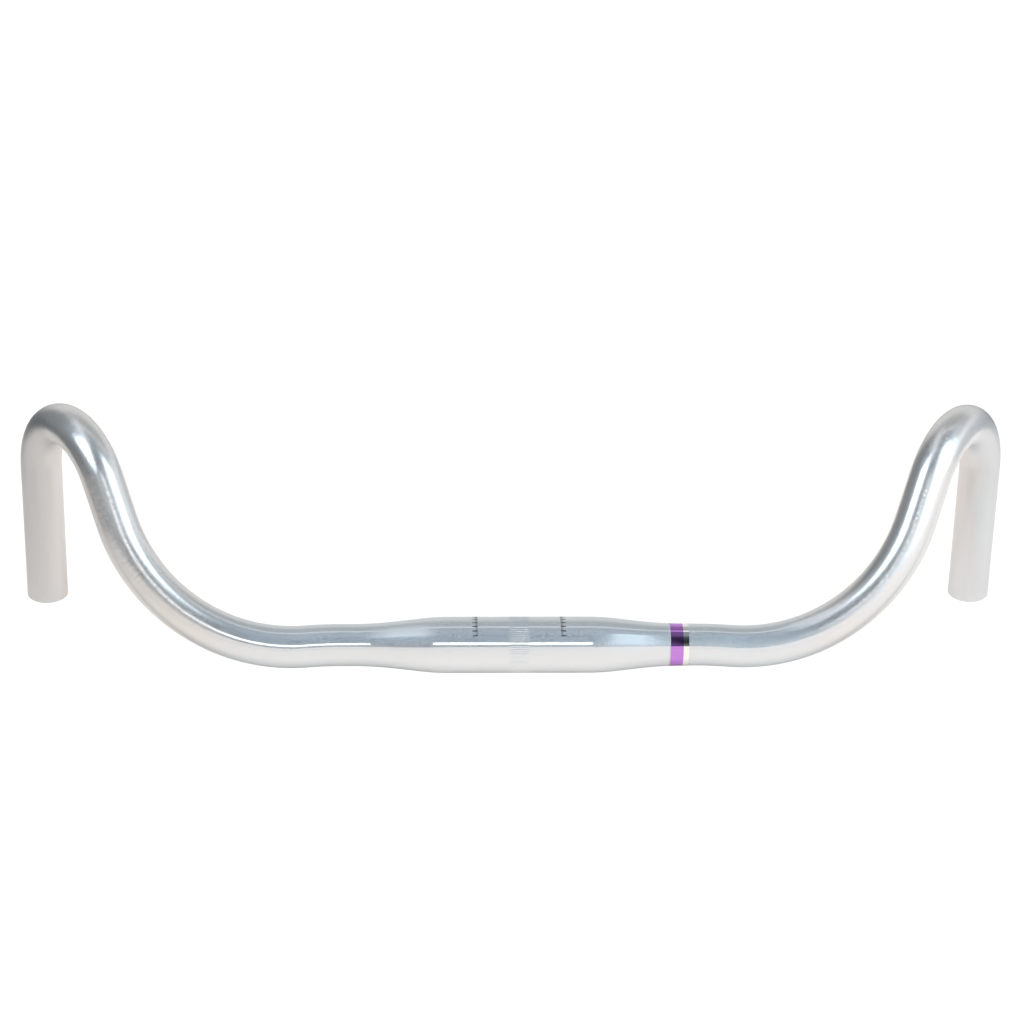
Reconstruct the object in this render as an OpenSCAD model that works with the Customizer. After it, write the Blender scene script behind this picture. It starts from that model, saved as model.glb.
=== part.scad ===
// Swept-back handlebar: one bent, swaged aluminium tube with open ends and a foil band.
// Millimetres. X runs along the clamp zone, Z is up; the bar rests on its clamp zone and
// on the two grip ends, as it stands on a flat bench.

/* [Tube sections] */
// Outside diameter of the clamp zone at the middle of the bar
clamp_d = 31.8; // [30:0.1:35]
// Outside diameter of the arms and grips
grip_d = 23.8; // [22.2:0.1:25.4]
// Wall thickness in the clamp zone
clamp_wall = 2.2; // [1.8:0.1:3]
// Wall thickness of the arms and grips
grip_wall = 1.8; // [1.4:0.1:2.4]
// Chamfer on both edges of each open end
end_chamfer = 0.4; // [0.2:0.1:0.6]

/* [Swaged tapers] */
// Distance from the middle to the corner where each taper leaves the clamp zone
taper_start = 47; // [42:1:50]
// Length of each taper between its two corners
taper_len = 34.5; // [33:0.5:38]
// Radius that rounds the taper into the clamp zone
shoulder_r = 140; // [60:5:160]
// Radius that eases the taper into the arm
neck_r = 225; // [100:5:240]

/* [Bends] */
// Distance from the middle to the start of the slight lead-in bend
sweep_start = 99; // [98:0.5:104]
// Centre-line radius of the lead-in bend
sweep_r = 280; // [200:10:400]
// Angle of the lead-in bend, away from the main front bend
sweep_angle = 4; // [1:0.1:5]
// Straight between the lead-in bend and the front bend
shoulder_run = 2; // [2:0.5:20]
// Centre-line radius of the front bend
front_r = 103.5; // [90:0.5:115]
// Direction of the leg after the front bend, measured from the clamp axis
leg_angle = 71.4; // [66:0.1:76]
// Straight between the front bend and the U-bend
leg_run = 25.5; // [10:0.5:40]
// Centre-line radius of the U-bend that turns back to the grip
back_r = 40.5; // [36:0.5:46]
// Angle of the grips out of the plane of the front bends
grip_drop = 30.4; // [27:0.1:35]
// Length of the straight grip
grip_len = 85.5; // [70:1:120]

/* [Knurled band] */
// Width of the knurled band at the middle of the clamp zone
knurl_w = 10.7; // [6:0.1:14]
// Number of flutes round the band
knurl_count = 80; // [40:4:96]
// Depth of each flute
knurl_depth = 0.15; // [0.1:0.05:0.25]

/* [Foil band] */
// Distance from the middle to the inner edge of the foil band
foil_start = 84.7; // [83:0.1:87]
// Width of the foil band along the tube
foil_w = 10.9; // [6:0.1:11]
// Thickness of the foil band
foil_t = 0.1; // [0.1:0.05:0.2]
// Gap left where the two ends of the foil band meet at the back
foil_seam = 0.6; // [0.2:0.1:2]

/* [Hidden] */

$fn = 128;
blend_steps = 12;                   // cones that follow each blend of the tapers
over = 1;                           // how far a cutter passes a face
snap_steps = 700;                   // angles tried to each side of the one asked for
snap_step = 0.00007;                // spacing of those angles, in degrees
reach = 400;                        // half size of the blocks that end each bend

clamp_r = clamp_d/2;
grip_r = grip_d/2;
bore_clamp_r = clamp_r - clamp_wall;
bore_grip_r = grip_r - grip_wall;
taper_end = taper_start + taper_len;

// A turn keeps a piece's size only if its sine and cosine, at six digits, still have unit
// length. Each bend takes the closest such angle, so that neighbouring pieces meet exactly.
function six(x) =
  abs(x) < 1e-6 ? 0 : let (p = pow(10, 6 - ceil(ln(abs(x))/ln(10)))) round(x*p)/p;
function growth(a) = abs(norm([six(cos(a)), six(sin(a))]) - 1);
function snap(a) =
  let (
    tries = [for (i = [-snap_steps:snap_steps]) a + i*snap_step],
    best = min([for (t = tries) growth(t)])
  ) [for (t = tries) if (growth(t) == best) t][0];

// Turns of the three bends, and the roll of the U-bend's plane about the leg
lead_turn = snap(sweep_angle);
front_turn = snap(leg_angle + sweep_angle);
back_turn = snap(acos(-cos(grip_drop)*sin(leg_angle)));
back_roll = snap(atan2(-sin(grip_drop), -cos(grip_drop)*cos(leg_angle)));

// Headings of the centre line; the front bends lie in the plane X, Y
leg_heading = front_turn - lead_turn;
d_mid = [1, 0, 0];
d_arm = [cos(lead_turn), -sin(lead_turn), 0];
d_leg = [cos(leg_heading), sin(leg_heading), 0];
d_side = [-sin(leg_heading)*cos(back_roll), cos(leg_heading)*cos(back_roll), sin(back_roll)];
d_grip = d_leg*cos(back_turn) + d_side*sin(back_turn);

// Centre of the right grip's open end, then the edge that meets the bench
grip_tip = sweep_start*d_mid
  + sweep_r*tan(lead_turn/2)*(d_mid + d_arm) + shoulder_run*d_arm
  + front_r*tan(front_turn/2)*(d_arm + d_leg) + leg_run*d_leg
  + back_r*tan(back_turn/2)*(d_leg + d_grip) + grip_len*d_grip;
foot_r = grip_r - end_chamfer;
foot_y = grip_tip[1] - foot_r*sin(grip_drop);
foot_z = grip_tip[2] + foot_r*cos(grip_drop);
// Turn about X that lays the clamp zone and both feet on one bench plane
rest_tilt = -asin(clamp_r/norm([foot_y, foot_z])) - atan2(foot_z, foot_y);

// Right half of the swaged outline as [radius, distance from the middle] points
function swage_line(r_mid, r_arm) =
  let (
    slope = atan((r_mid - r_arm)/taper_len),
    y_shoulder = taper_start - shoulder_r*tan(slope/2),
    y_neck = taper_end + neck_r*tan(slope/2)
  ) concat(
    [for (i = [0:blend_steps]) let (a = slope*i/blend_steps)
      [r_mid - shoulder_r*(1 - cos(a)), y_shoulder + shoulder_r*sin(a)]],
    [for (i = [blend_steps:-1:0]) let (a = slope*i/blend_steps)
      [r_arm + neck_r*(1 - cos(a)), y_neck - neck_r*sin(a)]]
  );

// Solid of revolution about the X axis from an outline of [radius, x] points
module along_x(turn = 360) {
  rotate([0, 90, 0]) rotate([0, 0, 90]) rotate_extrude(angle = turn) children();
}

// Half outline from the middle out to the lead-in bend
module swage_face(r_mid, r_arm) {
  polygon(concat(
    [[0, 0], [r_mid, 0]],
    swage_line(r_mid, r_arm),
    [[r_arm, sweep_start], [0, sweep_start]]
  ));
}

// Clamp zone and both tapers in one piece, out to the lead-in bends
module middle(r_mid, r_arm) {
  line = swage_line(r_mid, r_arm);
  last = len(line) - 1;
  along_x() polygon(concat(
    [[0, -sweep_start], [r_arm, -sweep_start]],
    [for (i = [last:-1:0]) [line[i][0], -line[i][1]]],
    line,
    [[r_arm, sweep_start], [0, sweep_start]]
  ));
}

module straight(len, r) {
  rotate([0, 90, 0]) cylinder(h = len, r = r);
}

// Frame at the end of a bend that starts along +X and turns towards +Y
module after_bend(turn_r, turn) {
  translate([0, turn_r, 0]) rotate([0, 0, turn]) translate([0, -turn_r, 0]) children();
}

// Everything ahead of the YZ plane
module half_space() {
  translate([0, -reach, -reach]) cube([2*reach, 2*reach, 2*reach]);
}

// Round bar that follows such a bend: a ring cut off at the planes of its two ends
module bend(turn_r, turn, r) {
  intersection() {
    translate([0, turn_r, 0]) rotate_extrude() translate([turn_r, 0]) circle(r = r);
    half_space();
    after_bend(turn_r, turn) mirror([1, 0, 0]) half_space();
  }
}

// Frame at the start of the front bend
module at_front_bend() {
  translate([sweep_start, 0, 0])
    mirror([0, 1, 0]) after_bend(sweep_r, lead_turn) mirror([0, 1, 0])
      translate([shoulder_run, 0, 0]) children();
}

// Frame at the start of the U-bend
module at_back_bend() {
  at_front_bend() after_bend(front_r, front_turn)
    translate([leg_run, 0, 0]) rotate([back_roll, 0, 0]) children();
}

// Round bar of one radius along the right arm, from the middle piece to the grip
module arm(r) {
  translate([sweep_start, 0, 0]) mirror([0, 1, 0]) bend(sweep_r, lead_turn, r);
  at_front_bend() {
    translate([-shoulder_run, 0, 0]) straight(shoulder_run, r);
    bend(front_r, front_turn, r);
    after_bend(front_r, front_turn) straight(leg_run, r);
  }
  at_back_bend() bend(back_r, back_turn, r);
}

module grip_skin() {
  straight(grip_len - end_chamfer, grip_r);
  translate([grip_len - end_chamfer, 0, 0]) rotate([0, 90, 0])
    cylinder(h = end_chamfer, r1 = grip_r, r2 = foot_r);
}

module grip_bore() {
  straight(grip_len + over, bore_grip_r);
  translate([grip_len - end_chamfer, 0, 0]) rotate([0, 90, 0])
    cylinder(h = 2*end_chamfer, r1 = bore_grip_r, r2 = bore_grip_r + 2*end_chamfer);
}

module both_sides() {
  children();
  mirror([1, 0, 0]) children();
}

// Flutes cut along the axis round the middle of the clamp zone
module knurl_flutes() {
  flute_r = 3*knurl_depth;
  for (i = [0:knurl_count - 1])
    rotate([i*360/knurl_count, 0, 0])
      translate([-knurl_w/2, 0, clamp_r + flute_r - knurl_depth])
        rotate([0, 90, 0]) cylinder(h = knurl_w, r = flute_r, $fn = 24);
}

module rest_pose() {
  rotate([rest_tilt, 0, 0]) children();
}

module bar_tube() {
  color([0.78, 0.79, 0.80]) rest_pose()
    difference() {
      union() {
        middle(clamp_r, grip_r);
        both_sides() {
          arm(grip_r);
          at_back_bend() after_bend(back_r, back_turn) grip_skin();
        }
      }
      middle(bore_clamp_r, bore_grip_r);
      both_sides() {
        arm(bore_grip_r);
        at_back_bend() after_bend(back_r, back_turn) grip_bore();
      }
      knurl_flutes();
    }
}

// Band on the right taper, a closed strip but for the seam at the back
module foil_band() {
  seam_angle = foil_seam/grip_r*180/PI;
  color([0.62, 0.42, 0.74])
    rotate([seam_angle/2, 0, 0]) along_x(turn = 360 - seam_angle)
      intersection() {
        translate([0, foil_start]) square([clamp_d, foil_w]);
        difference() {
          swage_face(clamp_r + foil_t, grip_r + foil_t);
          swage_face(clamp_r, grip_r);
        }
      }
}

bar_tube();
foil_band();
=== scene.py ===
# %% [markdown]
# # A swept-back handlebar
#
# The bar is one aluminium tube. Its middle is thick, so that a stem can clamp it, and is
# swaged down to a thinner tube on each side. Each side is then bent twice: forward, and
# back round to a straight grip. The bar is silver anodised, bright in the middle and on
# the arms and satin on the grips. It stands on a white bench on its middle and on the
# ends of its grips.
#
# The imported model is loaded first. It fixes where everything is, in metres, and its box
# is kept, so that the finished bar can be compared with it.

# %% Load the measured frame
import math

import bmesh
import bpy
from mathutils import Euler, Matrix, Vector


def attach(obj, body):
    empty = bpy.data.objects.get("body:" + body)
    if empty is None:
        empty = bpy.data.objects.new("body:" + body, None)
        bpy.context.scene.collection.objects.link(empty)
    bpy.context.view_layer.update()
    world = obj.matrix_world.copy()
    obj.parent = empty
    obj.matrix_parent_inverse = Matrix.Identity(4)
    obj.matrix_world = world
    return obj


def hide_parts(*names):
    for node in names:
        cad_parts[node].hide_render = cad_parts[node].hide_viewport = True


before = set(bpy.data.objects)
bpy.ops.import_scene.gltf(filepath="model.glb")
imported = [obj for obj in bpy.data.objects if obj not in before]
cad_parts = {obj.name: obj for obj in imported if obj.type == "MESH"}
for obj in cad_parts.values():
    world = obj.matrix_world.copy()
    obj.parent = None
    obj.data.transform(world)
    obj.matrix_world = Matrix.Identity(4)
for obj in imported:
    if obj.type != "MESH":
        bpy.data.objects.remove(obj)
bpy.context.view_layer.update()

# %% [markdown]
# The camera stands about 1.9 m away, a little to the left and 21 degrees above the
# bench, behind a long lens. Its place, its aim and its lens were worked out from the
# outline of the whole bar, so the bends fall where the photograph has them.

# %% Place the camera
scene = bpy.context.scene
lens = bpy.data.cameras.new("bench_camera")
lens.sensor_width = 36.0
lens.lens = 116.26
camera = bpy.data.objects.new("bench_camera", lens)
camera.location = (-0.08149, -1.71255, 0.73993)
camera.rotation_euler = Euler([math.radians(a) for a in (68.9495, -0.8664, -2.2298)])
scene.collection.objects.link(camera)
scene.camera = camera
print("camera is", round(camera.location.length, 3), "m from the clamp zone")

# %% [markdown]
# These are the sizes of the tube, the same as in the part's source, but in metres. The
# centre line of the right half starts in the middle of the clamp zone and runs along X.
# The left half is its mirror image.

# %% Sizes of the tube
MM = 0.001
CLAMP_R = 15.9 * MM
GRIP_R = 11.9 * MM
BORE_CLAMP_R = 13.7 * MM
BORE_GRIP_R = 10.1 * MM
END_CHAMFER = 0.4 * MM
TAPER_START = 47.0 * MM
TAPER_END = 81.5 * MM
SHOULDER_R = 140.0 * MM
NECK_R = 225.0 * MM
SWEEP_START = 99.0 * MM
SWEEP_R = 280.0 * MM
SHOULDER_RUN = 2.0 * MM
FRONT_R = 103.5 * MM
LEG_RUN = 25.5 * MM
BACK_R = 40.5 * MM
GRIP_LEN = 85.5 * MM
KNURL_HALF = 5.35 * MM
KNURL_DEPTH = 0.15 * MM

LEAD_TURN = math.radians(3.98523)
FRONT_TURN = math.radians(75.41862)
BACK_TURN = math.radians(144.78601)
BACK_ROLL = math.radians(-118.56417)
REST_TILT = math.radians(66.6247)
BENCH_Z = -CLAMP_R

# %% [markdown]
# A swaged taper isn't a plain cone. The tool leaves a rounded shoulder where the taper
# leaves the thick middle, and a hollow neck where it reaches the thin tube. The outline
# is a list of stations, each a distance from the middle and a radius there: an arc, the
# straight taper, and an arc the other way.

# %% Outline of the swaged taper
BLEND_STEPS = 12


def swage_stations(r_mid, r_arm):
    slope = math.atan((r_mid - r_arm) / (TAPER_END - TAPER_START))
    shoulder_x = TAPER_START - SHOULDER_R * math.tan(slope / 2)
    neck_x = TAPER_END + NECK_R * math.tan(slope / 2)
    stations = []
    for i in range(BLEND_STEPS + 1):
        a = slope * i / BLEND_STEPS
        x = shoulder_x + SHOULDER_R * math.sin(a)
        stations.append((x, r_mid - SHOULDER_R * (1 - math.cos(a))))
    for i in range(BLEND_STEPS, -1, -1):
        a = slope * i / BLEND_STEPS
        x = neck_x - NECK_R * math.sin(a)
        stations.append((x, r_arm + NECK_R * (1 - math.cos(a))))
    return stations


outline = swage_stations(CLAMP_R, GRIP_R)
print("taper from", round(outline[0][0] / MM, 1), "to", round(outline[-1][0] / MM, 1), "mm")

# %% [markdown]
# The tube is drawn as a tube mill would make it: a ring of points is pulled along a
# straight with an extrude, and turned round a bend with a spin. Each point also keeps
# where it would be if the tube were still straight, in an attribute called `unbent`.
# Marks, brushing and finish are laid on that straight tube, so they follow the bends.
#
# The pen below holds the ring that is being pulled, its centre and its heading.

# %% A pen that draws a tube


class TubePen:
    def __init__(self, bm, ring, start=0.0):
        """ring: the radius and angle of each point, round the X axis at x = start."""
        self.bm = bm
        vectors = bm.verts.layers.float_vector
        self.unbent = vectors.get("unbent") or vectors.new("unbent")
        made = bmesh.ops.create_circle(bm, segments=len(ring), radius=1.0, cap_ends=False)
        verts = made["verts"]
        for v, (radius, a) in zip(verts, ring):
            v.co = (start, radius * math.cos(a), radius * math.sin(a))
            v[self.unbent] = v.co
        self.edges = list(dict.fromkeys(e for v in verts for e in v.link_edges))
        self.centre = Vector((start, 0, 0))
        self.heading = Vector((1, 0, 0))
        self.side = Vector((0, 1, 0))
        self.along = start

    def points(self):
        return list(dict.fromkeys(v for e in self.edges for v in e.verts))

    def _note(self, length, growth=1.0):
        self.along += length
        for v in self.points():
            u = v[self.unbent]
            v[self.unbent] = (self.along, u.y * growth, u.z * growth)

    def run(self, length, growth=1.0):
        """Pull the ring straight ahead, and scale it by growth."""
        made = bmesh.ops.extrude_edge_only(self.bm, edges=self.edges)
        self.edges = [g for g in made["geom"] if isinstance(g, bmesh.types.BMEdge)]
        self.centre = self.centre + self.heading * length
        bmesh.ops.translate(self.bm, verts=self.points(), vec=self.heading * length)
        if growth != 1.0:
            about = Matrix.Translation(-self.centre)
            bmesh.ops.scale(self.bm, verts=self.points(), vec=(growth,) * 3, space=about)
        self._note(length, growth)

    def bend(self, radius, turn, step):
        """Turn the ring towards its side, in spins of about step each."""
        pivot = self.centre + self.side * radius
        axis = self.heading.cross(self.side)
        count = max(1, round(turn / step))
        for _ in range(count):
            made = bmesh.ops.spin(
                self.bm,
                geom=self.edges + self.points(),
                cent=pivot,
                axis=axis,
                angle=turn / count,
                steps=1,
            )
            self.edges = [g for g in made["geom_last"] if isinstance(g, bmesh.types.BMEdge)]
            self._note(radius * turn / count)
        spun = Matrix.Rotation(turn, 3, axis)
        self.centre = pivot + spun @ (self.centre - pivot)
        self.heading = spun @ self.heading
        self.side = spun @ self.side

    def roll(self, angle):
        """Choose another side for the next bend. The ring itself doesn't turn."""
        self.side = Matrix.Rotation(angle, 3, self.heading) @ self.side


# %% [markdown]
# Both walls of the tube follow the same centre line, so one function takes a pen that
# has left the clamp zone and draws the lead-in bend, the front bend, the leg, the U-bend
# and the grip. The lead-in bend turns the other way, so the side is rolled half a turn
# before and after it.

# %% The route of one half


def draw_half(pen, stations, grip_run, turn_step):
    for (x0, r0), (x1, r1) in zip([(pen.along, stations[0][1])] + stations, stations):
        pen.run(x1 - x0, r1 / r0)
    pen.run(SWEEP_START - pen.along)
    pen.roll(math.pi)
    pen.bend(SWEEP_R, LEAD_TURN, turn_step / 2)
    pen.roll(-math.pi)
    pen.run(SHOULDER_RUN)
    pen.bend(FRONT_R, FRONT_TURN, turn_step)
    pen.run(LEG_RUN)
    pen.roll(BACK_ROLL)
    pen.bend(BACK_R, BACK_TURN, turn_step)
    pen.run(grip_run)


# %% [markdown]
# The outside carries a knurled band in the middle of the clamp zone: shallow round flutes
# along the tube that stop the bar from creeping round in the stem. Each flute takes six
# points of the ring: three in its floor, and three on the flat land beside it. Where the
# band ends, a bridge joins this fine ring to a coarser plain one, which runs on to the
# grip.
#
# The outer ring ends in a small chamfer. The bore has a ring of its own, and a bridge
# between the two is the flat end face of the tube.

# %% Draw the right half, outside and bore
FLUTES = 80
# Each point's offset round the tube in millimetres, and its share of the flute's depth
FLUTE_POINTS = ((0.0, 1.0), (0.17, 0.78), (0.335, 0.0), (0.625, 0.0), (0.915, 0.0), (1.08, 0.78))
OUTER_POINTS = 160
BORE_POINTS = 80
OUTER_STEP = math.radians(2.0)
BORE_STEP = math.radians(5.0)
KNURL_RUN_OUT = 0.2 * MM


def knurl_ring():
    """Radius and angle of each point round the knurled band."""
    ring = []
    for flute in range(FLUTES):
        for offset, depth in FLUTE_POINTS:
            a = 2 * math.pi * flute / FLUTES + offset * MM / CLAMP_R
            ring.append((CLAMP_R - KNURL_DEPTH * depth, a))
    return ring


def plain_ring(radius, count):
    return [(radius, 2 * math.pi * k / count) for k in range(count)]


tube_bm = bmesh.new()
band = TubePen(tube_bm, knurl_ring())
band.run(KNURL_HALF)
outer = TubePen(tube_bm, plain_ring(CLAMP_R, OUTER_POINTS), start=KNURL_HALF + KNURL_RUN_OUT)
bmesh.ops.bridge_loops(tube_bm, edges=band.edges + outer.edges)
draw_half(outer, outline, GRIP_LEN - END_CHAMFER, OUTER_STEP)
outer.run(END_CHAMFER, (GRIP_R - END_CHAMFER) / GRIP_R)

bore = TubePen(tube_bm, plain_ring(BORE_CLAMP_R, BORE_POINTS))
bore_line = swage_stations(BORE_CLAMP_R, BORE_GRIP_R)
draw_half(bore, bore_line, GRIP_LEN - END_CHAMFER, BORE_STEP)
bore.run(END_CHAMFER, (BORE_GRIP_R + END_CHAMFER) / BORE_GRIP_R)

bmesh.ops.bridge_loops(tube_bm, edges=outer.edges + bore.edges)
print("half tube", len(tube_bm.verts), "points, length", round(outer.along / MM, 1), "mm")

# %% [markdown]
# The half is mirrored and welded in the middle, then laid back so that the clamp zone
# and both grip ends touch the bench. Only then are the faces turned outwards, because a
# mirror turns them inside out.
#
# Edges sharper than 25 degrees stay crisp. Those are the edges of the flutes and of the
# open ends. Everything else is shaded smooth.

# %% Mirror, lay on the bench and finish the mesh
WELD = 1e-7


def sharpen(bm, angle):
    for f in bm.faces:
        f.smooth = True
    for e in bm.edges:
        e.smooth = not (len(e.link_faces) == 2 and e.calc_face_angle(0) > angle)


right_half = tube_bm.verts[:] + tube_bm.edges[:] + tube_bm.faces[:]
bmesh.ops.mirror(tube_bm, geom=right_half, merge_dist=WELD, axis="X")
bmesh.ops.remove_doubles(tube_bm, verts=tube_bm.verts[:], dist=WELD)
lay_back = Matrix.Rotation(REST_TILT, 3, "X")
unbent = tube_bm.verts.layers.float_vector["unbent"]
for v in tube_bm.verts:
    u = lay_back @ v[unbent]
    v[unbent] = (math.copysign(u.x, v.co.x), u.y, u.z)
bmesh.ops.rotate(tube_bm, verts=tube_bm.verts[:], cent=(0, 0, 0), matrix=lay_back)
bmesh.ops.recalc_face_normals(tube_bm, faces=tube_bm.faces[:])
sharpen(tube_bm, math.radians(25))
open_edges = sum(1 for e in tube_bm.edges if len(e.link_faces) != 2)
print("whole tube", len(tube_bm.faces), "faces, open edges", open_edges)


def finish_piece(bm, name, node):
    mesh = bpy.data.meshes.new(name)
    bm.to_mesh(mesh)
    bm.free()
    piece = bpy.data.objects.new(name, mesh)
    scene.collection.objects.link(piece)
    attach(piece, "root")
    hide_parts(node)
    return piece


tube = finish_piece(tube_bm, "bent_tube", "bar_tube")

# %% [markdown]
# The foil band is a strip 11 mm wide wrapped round the right-hand taper. Its outline is
# the taper's own between two stations, spun round the tube almost a full turn, so that
# the two ends leave a hair of a seam at the back. That makes the band's outer face. It is
# turned to look outwards, and then the wall grows inwards from it, down to the tube.

# %% Wrap the foil band round the taper
FOIL_START = 84.7 * MM
FOIL_END = 95.6 * MM
FOIL_T = 0.1 * MM
FOIL_SEAM = 0.6 * MM
FOIL_ROWS = 22
FOIL_SPINS = 180


def radius_at(x, stations):
    for (x0, r0), (x1, r1) in zip(stations, stations[1:]):
        if x0 <= x <= x1:
            return r0 + (r1 - r0) * (x - x0) / (x1 - x0)
    return stations[-1][1]


foil_bm = bmesh.new()
foil_turn = 2 * math.pi - FOIL_SEAM / GRIP_R
row = []
for i in range(FOIL_ROWS + 1):
    x = FOIL_START + (FOIL_END - FOIL_START) * i / FOIL_ROWS
    row.append(foil_bm.verts.new((x, radius_at(x, outline) + FOIL_T, 0)))
strip = [foil_bm.edges.new(pair) for pair in zip(row, row[1:])]
past_seam = Matrix.Rotation(FOIL_SEAM / GRIP_R / 2, 3, "X")
bmesh.ops.rotate(foil_bm, verts=row, cent=(0, 0, 0), matrix=past_seam)
bmesh.ops.spin(
    foil_bm,
    geom=row + strip,
    cent=(0, 0, 0),
    axis=(1, 0, 0),
    angle=foil_turn,
    steps=FOIL_SPINS,
)
bmesh.ops.recalc_face_normals(foil_bm, faces=foil_bm.faces[:])
first = foil_bm.faces[0]
middle = first.calc_center_median()
if first.normal.dot(Vector((0, middle.y, middle.z))) < 0:
    bmesh.ops.reverse_faces(foil_bm, faces=foil_bm.faces[:])
bmesh.ops.solidify(foil_bm, geom=foil_bm.faces[:], thickness=FOIL_T)
radii = [math.hypot(v.co.y, v.co.z) / MM for v in foil_bm.verts]
print("foil band lies between radius", round(min(radii), 2), "and", round(max(radii), 2), "mm")
sharpen(foil_bm, math.radians(30))
foil = finish_piece(foil_bm, "foil_wrap", "foil_band")

# %% [markdown]
# Node trees are easier to read when each line makes one node and wires its inputs. The
# first helper below does that: an input that is a socket is linked, and any other is set.
# The others make sums, groups and materials.

# %% Helpers for node trees


def add_node(tree, kind, inputs=None, **settings):
    node = tree.nodes.new(kind)
    for key, value in settings.items():
        setattr(node, key, value)
    for key, value in (inputs or {}).items():
        if isinstance(value, bpy.types.NodeSocket):
            tree.links.new(value, node.inputs[key])
        else:
            node.inputs[key].default_value = value
    return node


def math_node(tree, operation, *values, clamp=False):
    inputs = dict(enumerate(values))
    return add_node(
        tree, "ShaderNodeMath", inputs, operation=operation, use_clamp=clamp
    ).outputs[0]


def new_group(name, inputs, outputs):
    group = bpy.data.node_groups.new(name, "ShaderNodeTree")
    for label, kind, value in inputs:
        sock = group.interface.new_socket(label, in_out="INPUT", socket_type=kind)
        if value is not None:
            sock.default_value = value
    for label, kind in outputs:
        group.interface.new_socket(label, in_out="OUTPUT", socket_type=kind)
    given = group.nodes.new("NodeGroupInput")
    wanted = group.nodes.new("NodeGroupOutput")
    return group, given.outputs, wanted.inputs


def new_material(name):
    material = bpy.data.materials.new(name)
    material.use_nodes = True
    material.node_tree.nodes.clear()
    return material, material.node_tree


def put_on(piece, material, shader):
    """Wire the shader to the material's output, and give the piece the material."""
    tree = material.node_tree
    surface = add_node(tree, "ShaderNodeOutputMaterial").inputs[0]
    tree.links.new(shader.outputs[0], surface)
    piece.data.materials.append(material)


# %% [markdown]
# The angle scales printed beside the knurl tell the mechanic how far the bar is turned in
# its stem. Each is a column of fine lines close to the middle, and every fifth line is
# twice as long and bolder. The group measures the angle round the straight tube and asks
# how near the closest line is, once for the fine lines and once for the bold ones. The
# widths of the lines and the span of the scale are in degrees.

# %% The printed angle scale
SCALE_SPAN = 89.0
SCALE_MARGIN = 0.9
FINE_WIDTH = 1.2
FINE_INK = 0.8
BOLD_WIDTH = 2.5
BOLD_EVERY = 5.0

scale_group, g_in, g_out = new_group(
    "angle_scale_print",
    [
        ("Unbent", "NodeSocketVector", None),
        ("First angle", "NodeSocketFloat", 41.5),
        ("Pitch", "NodeSocketFloat", 2.2),
        ("Inner edge", "NodeSocketFloat", 0.0233),
        ("Fine length", "NodeSocketFloat", 0.00145),
        ("Bold length", "NodeSocketFloat", 0.0030),
    ],
    [("Ink", "NodeSocketFloat")],
)
t = scale_group
xyz = add_node(t, "ShaderNodeSeparateXYZ", {0: g_in["Unbent"]}).outputs
past_inner = math_node(t, "SUBTRACT", math_node(t, "ABSOLUTE", xyz["X"]), g_in["Inner edge"])
front = math_node(t, "MULTIPLY", xyz["Y"], -1.0)
angle = math_node(t, "DEGREES", math_node(t, "ARCTAN2", xyz["Z"], front))
turned = math_node(t, "SUBTRACT", angle, g_in["First angle"])
after_first = math_node(t, "GREATER_THAN", turned, -SCALE_MARGIN)
before_last = math_node(t, "LESS_THAN", turned, SCALE_SPAN)
on_scale = math_node(t, "MULTIPLY", after_first, before_last)
on_scale = math_node(t, "MULTIPLY", on_scale, math_node(t, "GREATER_THAN", past_inner, 0.0))


def ladder(every, length, width):
    """1 on the lines of a ladder, 0 between them."""
    pitch = math_node(t, "MULTIPLY", g_in["Pitch"], every)
    steps = math_node(t, "DIVIDE", turned, pitch)
    off_line = math_node(t, "SUBTRACT", steps, math_node(t, "ROUND", steps))
    gap = math_node(t, "MULTIPLY", math_node(t, "ABSOLUTE", off_line), pitch)
    in_line = math_node(t, "LESS_THAN", gap, width / 2)
    return math_node(t, "MULTIPLY", in_line, math_node(t, "LESS_THAN", past_inner, length))


fine = math_node(t, "MULTIPLY", ladder(1.0, g_in["Fine length"], FINE_WIDTH), FINE_INK)
bold = ladder(BOLD_EVERY, g_in["Bold length"], BOLD_WIDTH)
ink = math_node(t, "MULTIPLY", math_node(t, "MAXIMUM", fine, bold), on_scale)
t.links.new(ink, g_out["Ink"])
print("angle scale: a fine line every 2.2 degrees, a bold one every 11")

# %% [markdown]
# Anodised aluminium is bare metal under a clear skin as hard as glass, so its colour comes
# from what it reflects. Polishing leaves hairlines a tenth of a millimetre apart. Between
# them the metal is a mirror, and in them it is matt, so a sharp picture of the room lies
# under a pale veil. The group below is that mixture: the higher `Haze`, the more of the
# surface is matt.

# %% Hairlines in polished metal
HAIRLINE_SCALE = (3000.0, 18000.0, 18000.0)
NO_HAZE_LEVEL = 0.33
HAZE_RANGE = 0.34
HAIRLINE_EDGE = 0.01

hairline_group, g_in, g_out = new_group(
    "polished_hairlines",
    [
        ("Unbent", "NodeSocketVector", None),
        ("Haze", "NodeSocketFloat", 0.4),
        ("Mirror roughness", "NodeSocketFloat", 0.05),
        ("Matt roughness", "NodeSocketFloat", 0.5),
    ],
    [("Roughness", "NodeSocketFloat"), ("Matt", "NodeSocketFloat")],
)
t = hairline_group
squeeze = {0: g_in["Unbent"], 1: HAIRLINE_SCALE}
squeezed = add_node(t, "ShaderNodeVectorMath", squeeze, operation="MULTIPLY").outputs[0]
fine_noise = {"Vector": squeezed, "Scale": 1.0, "Detail": 1.0}
grain = add_node(t, "ShaderNodeTexNoise", fine_noise).outputs["Fac"]
level = math_node(t, "MULTIPLY_ADD", g_in["Haze"], HAZE_RANGE, NO_HAZE_LEVEL)
over_grain = math_node(t, "SUBTRACT", level, grain)
sharp_step = {"Value": over_grain, "From Min": -HAIRLINE_EDGE, "From Max": HAIRLINE_EDGE}
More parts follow.
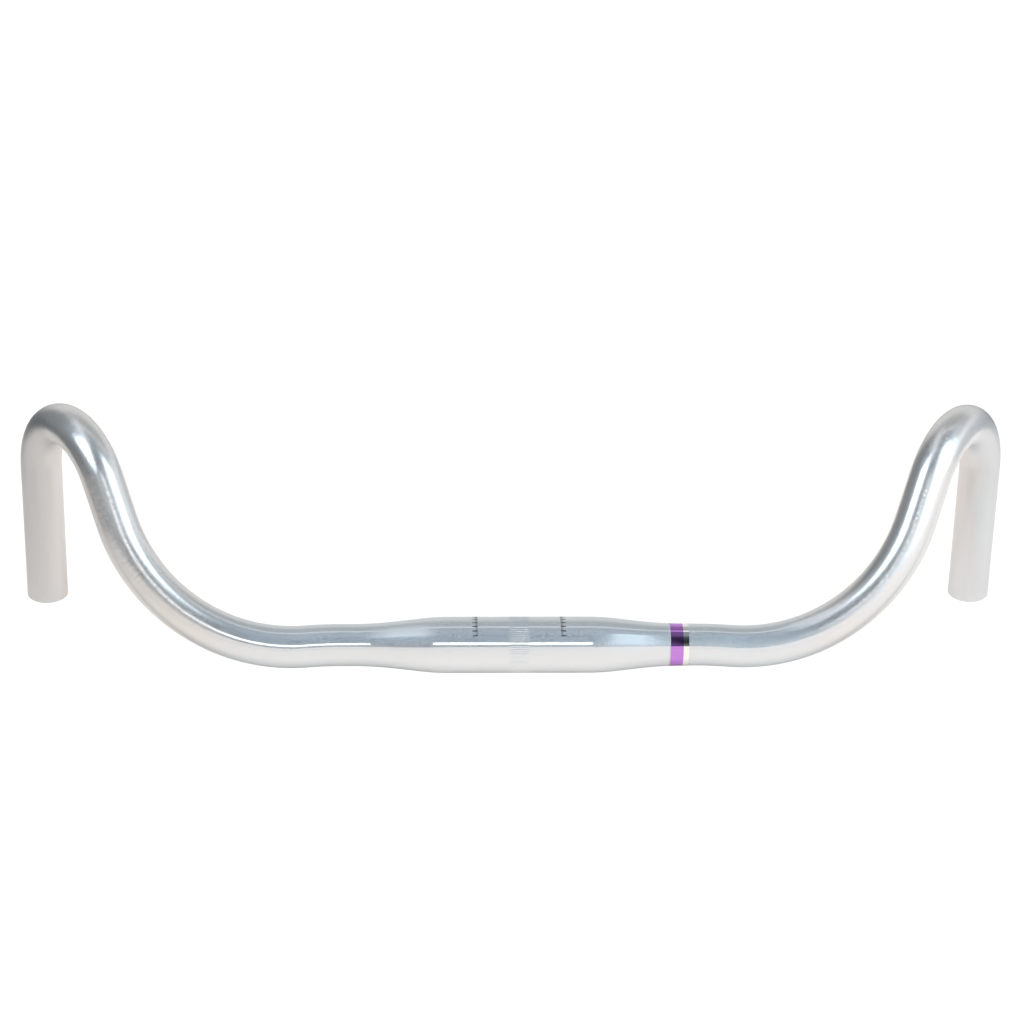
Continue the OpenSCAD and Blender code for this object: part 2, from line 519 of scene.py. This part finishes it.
matt = add_node(t, "ShaderNodeMapRange", sharp_step).outputs[0]
mixture = {0: matt, 2: g_in["Mirror roughness"], 3: g_in["Matt roughness"]}
t.links.new(add_node(t, "ShaderNodeMix", mixture).outputs[0], g_out["Roughness"])
t.links.new(matt, g_out["Matt"])
print("hairlines: the matt share grows with Haze, through", len(t.nodes), "nodes")

# %% [markdown]
# Three finishes share the bar. The middle was polished before anodising. The bends were
# polished too, but bending has drawn the metal into faint ripples across the tube and
# left it hazier. The grips are satin. Each finish fades into the next, because the
# polishing wheel was lifted there by hand. First come the masks that say where each
# finish is. They are measured along the straight tube, with an edge that wanders a little.

# %% Where each finish lies
BENT_FROM, BENT_FULLY = 0.150, 0.200
POLISHED_UNTIL = 0.335
SATIN_FROM = POLISHED_UNTIL - 0.006
SATIN_FULLY = POLISHED_UNTIL + 0.012
EDGE_WANDER = 0.012

anodised, t = new_material("silver_anodised")


def fade(value, start, end, tree=None):
    """Smooth change from 0 to 1 while value goes from start to end."""
    inputs = {"Value": value, "From Min": start, "From Max": end}
    return add_node(
        tree or t, "ShaderNodeMapRange", inputs, interpolation_type="SMOOTHSTEP"
    ).outputs[0]


def noise(vector, scale, detail=2.0, stretch=None):
    if stretch:
        inputs = {0: vector, 1: stretch}
        vector = add_node(t, "ShaderNodeVectorMath", inputs, operation="MULTIPLY").outputs[0]
    inputs = {"Vector": vector, "Scale": scale, "Detail": detail}
    return add_node(t, "ShaderNodeTexNoise", inputs).outputs["Fac"]


def blend(factor, low, high):
    return add_node(t, "ShaderNodeMix", {0: factor, 2: low, 3: high}).outputs[0]


def blend_colour(factor, low, high):
    inputs = {0: factor, 6: low, 7: high}
    return add_node(t, "ShaderNodeMix", inputs, data_type="RGBA").outputs[2]


def relief(height, strength, distance):
    inputs = {"Strength": strength, "Distance": distance, "Height": height}
    return add_node(t, "ShaderNodeBump", inputs).outputs["Normal"]


place = add_node(t, "ShaderNodeAttribute", attribute_name="unbent").outputs["Vector"]
xyz = add_node(t, "ShaderNodeSeparateXYZ", {0: place}).outputs
along = math_node(t, "ABSOLUTE", xyz["X"])
wander = noise(place, 60.0)
edge = math_node(t, "MULTIPLY_ADD", wander, EDGE_WANDER, along)
bent = fade(edge, BENT_FROM, BENT_FULLY)
satin = fade(edge, SATIN_FROM, SATIN_FULLY)
print("finish changes to satin", round(POLISHED_UNTIL / MM), "mm out along the tube")

# %% [markdown]
# Next comes how clear a picture each finish gives of the room, and in what tone. The
# polish is hazier where the cloth pressed less, so a soft cloud varies it. The satin was
# brushed lightly along the tube, which shows as faint streaks in its tone and its shine.

# %% Polish and satin
MIDDLE_HAZE, BEND_HAZE = 0.58, 0.40
MIDDLE_GLOSS, BEND_GLOSS = 0.045, 0.24
MATT_ROUGHNESS = 0.5
SATIN_LIGHT, SATIN_DARK = (0.711, 0.725, 0.743, 1), (0.695, 0.71, 0.73, 1)

cloud = noise(place, 35.0, 4.0)
patchy = math_node(t, "MULTIPLY", math_node(t, "SUBTRACT", cloud, 0.5), blend(bent, 0.03, 0.30))
haze = math_node(t, "ADD", blend(bent, MIDDLE_HAZE, BEND_HAZE), patchy)
hairlines = add_node(
    t,
    "ShaderNodeGroup",
    {
        "Unbent": place,
        "Haze": haze,
        "Mirror roughness": blend(bent, MIDDLE_GLOSS, BEND_GLOSS),
        "Matt roughness": MATT_ROUGHNESS,
    },
    node_tree=hairline_group,
)

brushed = noise(place, 1.0, 3.0, (45.0, 1100.0, 1100.0))
satin_rough = math_node(t, "MULTIPLY_ADD", brushed, 0.16, 0.25)
satin_rough = math_node(t, "MULTIPLY_ADD", cloud, 0.10, satin_rough)
rough = blend(satin, hairlines.outputs["Roughness"], satin_rough)
hairline_tone = blend_colour(bent, (0.74, 0.82, 0.89, 1), (0.79, 0.81, 0.83, 1))
polished_tone = blend_colour(hairlines.outputs["Matt"], (0.80, 0.80, 0.80, 1), hairline_tone)
streak = fade(brushed, 0.35, 0.65)
satin_tone = blend_colour(streak, SATIN_DARK, SATIN_LIGHT)
tone = blend_colour(satin, polished_tone, satin_tone)
print("polish and satin are mixed by", len(t.nodes), "nodes")

# %% [markdown]
# Last comes the relief, in tenths of a millimetre: ripples where the tube is bent, a fine
# blasted grain with the brushing over it on the grips, and the ink, which stands up a
# little. The ink of the angle scale is black and isn't metal.

# %% Relief, ink and the whole finish
RELIEF_UNIT = 0.0001
INK_COLOUR = (0.012, 0.012, 0.014, 1)
INK_ROUGHNESS = 0.45
INK_HEIGHT = 0.15

scale_print = add_node(t, "ShaderNodeGroup", {"Unbent": place}, node_tree=scale_group)
ink = scale_print.outputs["Ink"]
across = noise(place, 1.0, 2.0, (520.0, 130.0, 130.0))
drawn = math_node(t, "MULTIPLY_ADD", noise(place, 1400.0), 0.6, across)
ripples = math_node(t, "MULTIPLY", drawn, math_node(t, "MULTIPLY", bent, 0.8))
brush_marks = math_node(t, "MULTIPLY", brushed, 0.06)
blasted = math_node(t, "MULTIPLY_ADD", noise(place, 2600.0), 0.15, brush_marks)
height = blend(satin, ripples, blasted)
height = math_node(t, "MULTIPLY_ADD", ink, INK_HEIGHT, height)
shader = add_node(
    t,
    "ShaderNodeBsdfPrincipled",
    {
        "Base Color": blend_colour(ink, tone, INK_COLOUR),
        "Metallic": math_node(t, "SUBTRACT", 1.0, ink),
        "Roughness": blend(ink, rough, INK_ROUGHNESS),
        "Normal": relief(height, 1.0, RELIEF_UNIT),
    },
)
put_on(tube, anodised, shader)
print("the whole finish has", len(t.nodes), "nodes")

# %% [markdown]
# The band is mirror foil: a lilac field, a silver strip along its outer side, and a thin
# clear margin along its inner side. It is smoother than the tube under it.

# %% The mirror foil
FIELD_START = 0.0852
FIELD_END = 0.0925
LILAC = (0.56, 0.26, 0.78, 1)
SILVER = (0.95, 0.95, 0.95, 1)
CLEAR_MARGIN = (0.62, 0.62, 0.62, 1)

foil_mat, t = new_material("mirror_foil")
place = add_node(t, "ShaderNodeTexCoord").outputs["Object"]
xyz = add_node(t, "ShaderNodeSeparateXYZ", {0: place}).outputs
past_margin = math_node(t, "GREATER_THAN", xyz["X"], FIELD_START)
in_field = math_node(t, "MULTIPLY", past_margin, math_node(t, "LESS_THAN", xyz["X"], FIELD_END))
in_margin = math_node(t, "LESS_THAN", xyz["X"], FIELD_START)
colour = blend_colour(in_field, SILVER, LILAC)
colour = blend_colour(in_margin, colour, CLEAR_MARGIN)
shader = add_node(
    t,
    "ShaderNodeBsdfPrincipled",
    {
        "Base Color": colour,
        "Metallic": math_node(t, "SUBTRACT", 1.0, in_margin),
        "Roughness": 0.05,
        "Normal": relief(noise(place, 300.0), 0.25, 0.00005),
    },
)
put_on(foil, foil_mat, shader)
print("lilac field", round((FIELD_END - FIELD_START) / MM, 1), "mm wide")

# %% [markdown]
# Polished metal is a picture of its surroundings, so the room matters more than the
# metal's own settings. First the bench: a sheet of white paper, about a metre wide. Its
# colour is painted greyer towards its sides, a painted shade for lights that fall on its
# middle. It also glows a little, a painted light for the light that it sends up to the bar:
# warm in the middle, brighter and whiter on the right, where a window shines on it, and a
# painted shadow right under the clamp zone, which shades it. The camera itself sees it as
# pure white, as a product photographer would expose it.

# %% The white bench
BENCH_HALF_WIDTH = 0.54
BENCH_HALF_DEPTH = 1.3
BENCH_CENTRE_Y = 0.8
PURE_WHITE = (1, 1, 1, 1)
WHITE_GLOW = 1.1

bench_bm = bmesh.new()
bmesh.ops.create_grid(bench_bm, x_segments=1, y_segments=1, size=1.0)
bench_size = (BENCH_HALF_WIDTH, BENCH_HALF_DEPTH, 1.0)
bmesh.ops.scale(bench_bm, verts=bench_bm.verts[:], vec=bench_size)
bmesh.ops.translate(bench_bm, verts=bench_bm.verts[:], vec=(0, BENCH_CENTRE_Y, BENCH_Z))
bench_mesh = bpy.data.meshes.new("bench")
bench_bm.to_mesh(bench_mesh)
bench_bm.free()
bench = bpy.data.objects.new("bench", bench_mesh)
scene.collection.objects.link(bench)

PAPER_MIDDLE, PAPER_SIDES_PAINTED_SHADE = (0.78, 0.73, 0.69, 1), (0.54, 0.51, 0.48, 1)
GLOW_MIDDLE, GLOW_SIDES = (0.50, 0.405, 0.335, 1), (0.37, 0.32, 0.285, 1)
GLOW_SUNNY, GLOW_SHADED = (0.62, 0.59, 0.57, 1), (0.02, 0.02, 0.02, 1)

paper, t = new_material("white_paper")


def straight_rise(value, start, end):
    """Straight change from 0 to 1 while value goes from start to end."""
    inputs = {"Value": value, "From Min": start, "From Max": end}
    return add_node(t, "ShaderNodeMapRange", inputs).outputs[0]


place = add_node(t, "ShaderNodeTexCoord").outputs["Object"]
here = add_node(t, "ShaderNodeSeparateXYZ", {0: place}).outputs
# The paper's colour is painted greyer towards its sides: painted shade where the lights fall
# off.
painted_light_falloff = fade(math_node(t, "ABSOLUTE", here["X"]), 0.12, 0.42)
shade = blend_colour(painted_light_falloff, PAPER_MIDDLE, PAPER_SIDES_PAINTED_SHADE)
# Painted light: the paper glows, warm in the middle and weaker towards the sides.
bounce = blend_colour(painted_light_falloff, GLOW_MIDDLE, GLOW_SIDES)
# Painted light: the glow turns brighter and whiter on the right.
sunny_side = straight_rise(here["X"], 0.18, 0.34)
bounce = blend_colour(sunny_side, bounce, GLOW_SUNNY)
# Painted shadow: the glow goes dark in a narrow strip under the clamp zone.
away = straight_rise(math_node(t, "ABSOLUTE", here["Y"]), 0.0, 0.02)
bounce = blend_colour(away, GLOW_SHADED, bounce)
matte = add_node(
    t,
    "ShaderNodeBsdfPrincipled",
    {
        "Base Color": shade,
        "Roughness": 0.9,
        "Specular IOR Level": 0.0,
        "Emission Color": bounce,
        "Emission Strength": 1.0,
    },
)
blank = add_node(t, "ShaderNodeEmission", {"Color": PURE_WHITE, "Strength": WHITE_GLOW})
seen = add_node(t, "ShaderNodeLightPath").outputs["Is Camera Ray"]
by_ray = {0: seen, 1: matte.outputs[0], 2: blank.outputs[0]}
put_on(bench, paper, add_node(t, "ShaderNodeMixShader", by_ray))
print("bench is", round(2 * BENCH_HALF_WIDTH, 2), "m wide, at height", round(BENCH_Z, 4))

# %% [markdown]
# Then the room, drawn by direction, because it is far away compared with the bar. This
# first part goes from the camera's side over the bar's head to the far side. It is dark
# over the camera and grey towards the top. One thin strip light hangs just behind the
# middle of the ceiling, and a white backdrop stands behind the bench.

# %% The ceiling, by direction
world = bpy.data.worlds.new("studio")
scene.world = world
world.use_nodes = True
t = world.node_tree
t.nodes.clear()
direction = add_node(t, "ShaderNodeTexCoord").outputs["Generated"]
xyz = add_node(t, "ShaderNodeSeparateXYZ", {0: direction}).outputs
front = math_node(t, "MULTIPLY", xyz["Y"], -1.0)


def colour_ramp(tree, value, stops):
    ramp = add_node(tree, "ShaderNodeValToRGB", {"Fac": value})
    elements = ramp.color_ramp.elements
    while len(elements) > 1:
        elements.remove(elements[-1])
    elements[0].position, elements[0].color = stops[0][0], (*stops[0][1], 1)
    for place_on_ramp, rgb in stops[1:]:
        elements.new(place_on_ramp).color = (*rgb, 1)
    return ramp.outputs["Color"]


over_head = math_node(t, "DIVIDE", math_node(t, "ARCTAN2", xyz["Z"], front), math.pi)
ceiling = colour_ramp(
    t,
    over_head,
    [
        (0.08, (0.02, 0.02, 0.02)),
        (0.20, (0.02, 0.022, 0.025)),
        (0.34, (0.07, 0.08, 0.09)),
        (0.40, (0.24, 0.26, 0.28)),
        (0.538, (0.28, 0.30, 0.33)),
        (0.544, (1.05, 1.05, 1.05)),
        (0.574, (1.05, 1.05, 1.05)),
        (0.582, (0.36, 0.36, 0.36)),
        (0.73, (0.46, 0.46, 0.45)),
        (0.80, (0.80, 0.78, 0.75)),
        (1.0, (0.80, 0.79, 0.77)),
    ],
)
print("ceiling runs over", len(ceiling.node.color_ramp.elements), "shades")

# %% [markdown]
# The second part is what stands lower. A white apron hangs in front of the bench, and its
# edge drops towards the left. Over the apron the room is dark on the left and grey on the
# right. A pale wall stands on the right and a dark one on the left, a grey panel stands
# low down behind the bar on the right, and the ceiling on the left is lit. Each is a patch
# with soft edges, laid over what came before.

# %% The walls and the apron, by direction
APRON_HEIGHT, APRON_RISE, APRON_DROP_LEFT = -0.145, 0.395, 0.17
PALE_WALL = (0.88, 0.88, 0.88, 1)
REAR_PANEL = (0.50, 0.52, 0.55, 1)
LIT_CEILING = (0.85, 0.87, 0.90, 1)
DARK_WALL = (0.12, 0.13, 0.14, 1)
APRON_WHITE = (1.06, 0.975, 0.915, 1)

apron_edge = math_node(t, "MULTIPLY_ADD", front, APRON_RISE, APRON_HEIGHT)
to_left = math_node(t, "MINIMUM", xyz["X"], 0.0)
apron_edge = math_node(t, "MULTIPLY_ADD", to_left, APRON_DROP_LEFT, apron_edge)
above_apron = math_node(t, "SUBTRACT", xyz["Z"], apron_edge)
left_to_right = math_node(t, "MULTIPLY_ADD", xyz["X"], 0.5, 0.5)
low_room = colour_ramp(
    t,
    left_to_right,
    [
        (0.03, (0.03, 0.032, 0.036)),
        (0.50, (0.04, 0.05, 0.06)),
        (0.70, (0.40, 0.42, 0.46)),
        (1.0, (0.45, 0.46, 0.48)),
    ],
)
rise = math_node(t, "MULTIPLY", math_node(t, "SUBTRACT", above_apron, 0.05), 4.0, clamp=True)
room = blend_colour(rise, low_room, ceiling)
behind = fade(front, -0.3, -0.8)
room = blend_colour(behind, room, ceiling)
right_wall = math_node(t, "MULTIPLY", fade(xyz["X"], 0.45, 0.80), fade(xyz["Z"], 0.65, 0.35))
room = blend_colour(right_wall, room, PALE_WALL)
right_rear = math_node(t, "MULTIPLY", fade(xyz["X"], 0.50, 0.70), fade(front, 0.03, -0.15))
right_rear = math_node(t, "MULTIPLY", right_rear, fade(xyz["Z"], 0.30, 0.15))
room = blend_colour(right_rear, room, REAR_PANEL)
left_ceiling = math_node(t, "MULTIPLY", fade(xyz["X"], -0.05, -0.20), fade(xyz["Z"], 0.80, 0.92))
room = blend_colour(left_ceiling, room, LIT_CEILING)
left_wall = math_node(t, "MULTIPLY", fade(xyz["X"], -0.35, -0.65), 0.85)
room = blend_colour(left_wall, room, DARK_WALL)
apron = fade(above_apron, 0.012, -0.012)
room = blend_colour(apron, room, APRON_WHITE)
surroundings = add_node(t, "ShaderNodeBackground", {"Color": room, "Strength": 1.0})
backdrop = add_node(t, "ShaderNodeBackground", {"Color": PURE_WHITE, "Strength": WHITE_GLOW})
seen = add_node(t, "ShaderNodeLightPath").outputs["Is Camera Ray"]
by_ray = {0: seen, 1: surroundings.outputs[0], 2: backdrop.outputs[0]}
mixed = add_node(t, "ShaderNodeMixShader", by_ray)
t.links.new(mixed.outputs[0], add_node(t, "ShaderNodeOutputWorld").inputs[0])
scene.view_settings.view_transform = "Standard"
print("room has", len(t.nodes), "nodes")

# %% [markdown]
# Two wide windows light the bar from the camera's side, left and right of it. They show as
# the broad white streaks on the bends, so their size and place matter, and also that their
# edges fade, as a diffuser's do. An area light has hard edges, so each window is a sheet of
# its own that glows where it is window and is clear elsewhere. `inner`, `sill` and `top`
# say where the glow starts and where it is full. The inner edges lean outwards with
# height, and the left window's sill climbs outwards.

# %% Two windows
DAYLIGHT = (0.87, 1.0, 1.09, 1)
SHEET_HALF = 2.1
SHEET_Y = -1.0


def window(name, side, glow, inner, sill, top):
    """side: -1 or 1; inner, sill: start of the light, full light, slope; top: start, full."""
    bm = bmesh.new()
    bmesh.ops.create_grid(bm, x_segments=1, y_segments=1, size=1.0)
    bmesh.ops.scale(bm, verts=bm.verts[:], vec=(SHEET_HALF, SHEET_HALF, 1.0))
    upright = Matrix.Rotation(math.pi / 2, 3, "X")
    bmesh.ops.rotate(bm, verts=bm.verts[:], cent=(0, 0, 0), matrix=upright)
    bmesh.ops.translate(bm, verts=bm.verts[:], vec=(side * SHEET_HALF, SHEET_Y, SHEET_HALF))
    mesh = bpy.data.meshes.new(name)
    bm.to_mesh(mesh)
    bm.free()
    sheet = bpy.data.objects.new(name, mesh)
    sheet.visible_camera = False
    scene.collection.objects.link(sheet)

    glass, tree = new_material(name)
    here = add_node(tree, "ShaderNodeTexCoord").outputs["Object"]
    xyz = add_node(tree, "ShaderNodeSeparateXYZ", {0: here}).outputs
    out_x = math_node(tree, "ABSOLUTE", xyz["X"])
    beyond = math_node(tree, "MULTIPLY_ADD", xyz["Z"], -inner[2], out_x)
    above = math_node(tree, "MULTIPLY_ADD", out_x, -sill[2], xyz["Z"])
    past_inner = fade(beyond, inner[0], inner[1], tree)
    over_sill = fade(above, sill[0], sill[1], tree)
    under_top = fade(xyz["Z"], top[0], top[1], tree)
    lit = math_node(tree, "MULTIPLY", past_inner, over_sill)
    lit = math_node(tree, "MULTIPLY", lit, under_top)
    clear = add_node(tree, "ShaderNodeBsdfTransparent")
    bright = add_node(tree, "ShaderNodeEmission", {"Color": DAYLIGHT, "Strength": glow})
    by_light = {0: lit, 1: clear.outputs[0], 2: bright.outputs[0]}
    put_on(sheet, glass, add_node(tree, "ShaderNodeMixShader", by_light))


window("left_window", -1, 3.6, inner=(0.24, 0.58, 0.25), sill=(0.25, 0.55, 0.45), top=(4.2, 3.0))
window("right_window", 1, 3.2, inner=(0.06, 0.80, 0.20), sill=(0.25, 0.60, 0.0), top=(3.3, 2.4))
print("two windows,", abs(SHEET_Y), "m in front of the bar")

# %% [markdown]
# A small lamp above the camera draws the thin bright line along the middle. It is a little
# left of centre, so the line shows again on the left arm, and not on the right one. The
# tapers lean sideways and look past it. An area light's surface is as bright as its power
# over four times its area, so the power is worked out from the brightness wanted.

# %% The small lamp
LAMP_GLOW = 2.5
LAMP_SIZE = (0.47, 0.30)
LAMP_PLACE = (-0.025, -1.60, 0.84)
LAMP_AIM = (0, 1.60, -0.84)

light = bpy.data.lights.new("small_lamp", "AREA")
light.shape = "RECTANGLE"
light.size, light.size_y = LAMP_SIZE
light.energy = 4 * LAMP_GLOW * light.size * light.size_y
lamp = bpy.data.objects.new("small_lamp", light)
lamp.location = LAMP_PLACE
lamp.rotation_euler = Vector(LAMP_AIM).to_track_quat("-Z", "Y").to_euler()
lamp.visible_camera = False
scene.collection.objects.link(lamp)
print("lamp is", round(lamp.location.length, 2), "m from the middle of the bar")
